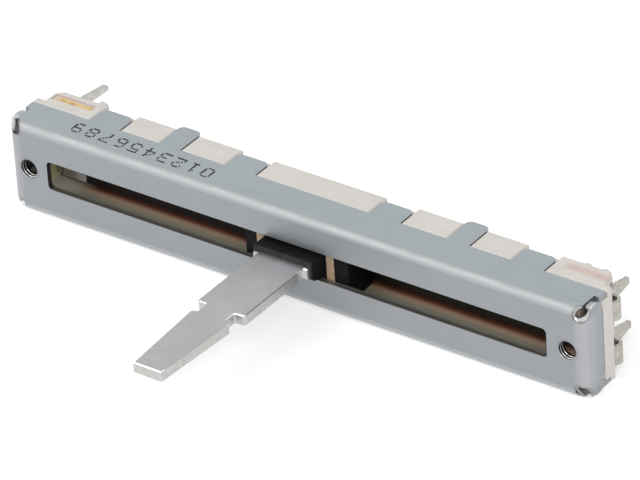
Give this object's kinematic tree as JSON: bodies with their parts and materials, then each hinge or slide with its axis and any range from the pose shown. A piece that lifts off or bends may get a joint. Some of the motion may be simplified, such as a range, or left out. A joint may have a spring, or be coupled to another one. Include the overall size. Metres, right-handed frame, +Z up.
{
  "type": "slide potentiometer",
  "caption": "Long-travel dual slide potentiometer with a folded metal cover, white moulded body, flat metal lever and solder pins at the back.",
  "frame": {"origin": "midway between the two threaded mounting holes, on the front face of the cover", "axes": "+X along the slot, -Y out of the slot along the lever, +Z up across the cover"},
  "size_m": [0.0856, 0.0434, 0.0128],
  "materials": {
    "plated_steel": "satin",
    "white_plastic": "satin",
    "brown_phenolic": "matte",
    "black_film": "satin",
    "silver_film": "satin",
    "tinned_brass": "satin",
    "rivet_brass": "satin",
    "black_plastic": "satin",
    "lever_aluminium": "satin",
    "tan_plastic": "satin",
    "sprung_brass": "polished"
  },
  "bodies": {
    "housing": {"metal_cover": "plated_steel", "moulded_body": "white_plastic", "phenolic_board": "brown_phenolic", "upper_resistive_track": "black_film", "lower_resistive_track": "black_film", "upper_collector_track": "silver_film", "lower_collector_track": "silver_film", "upper_left_silver_pad": "silver_film", "upper_right_silver_pad": "silver_film", "lower_left_silver_pad": "silver_film", "lower_right_silver_pad": "silver_film", "upper_left_terminal": "tinned_brass", "upper_right_terminal": "tinned_brass", "lower_left_terminal": "tinned_brass", "lower_right_terminal": "tinned_brass", "upper_collector_terminal": "tinned_brass", "lower_collector_terminal": "tinned_brass", "collector_rivets": "rivet_brass"},
    "slider": {"carriage": "black_plastic", "lever": "lever_aluminium", "left_glide_strip": "tan_plastic", "right_glide_strip": "tan_plastic", "wiper_holder": "black_plastic", "upper_wiper": "sprung_brass", "lower_wiper": "sprung_brass"}
  },
  "joints": [
    {"name": "lever_slide", "type": "slide", "parent": "housing", "child": "slider", "axis": [1, 0, 0], "range_m": [-0.03, 0.03]}
  ]
}
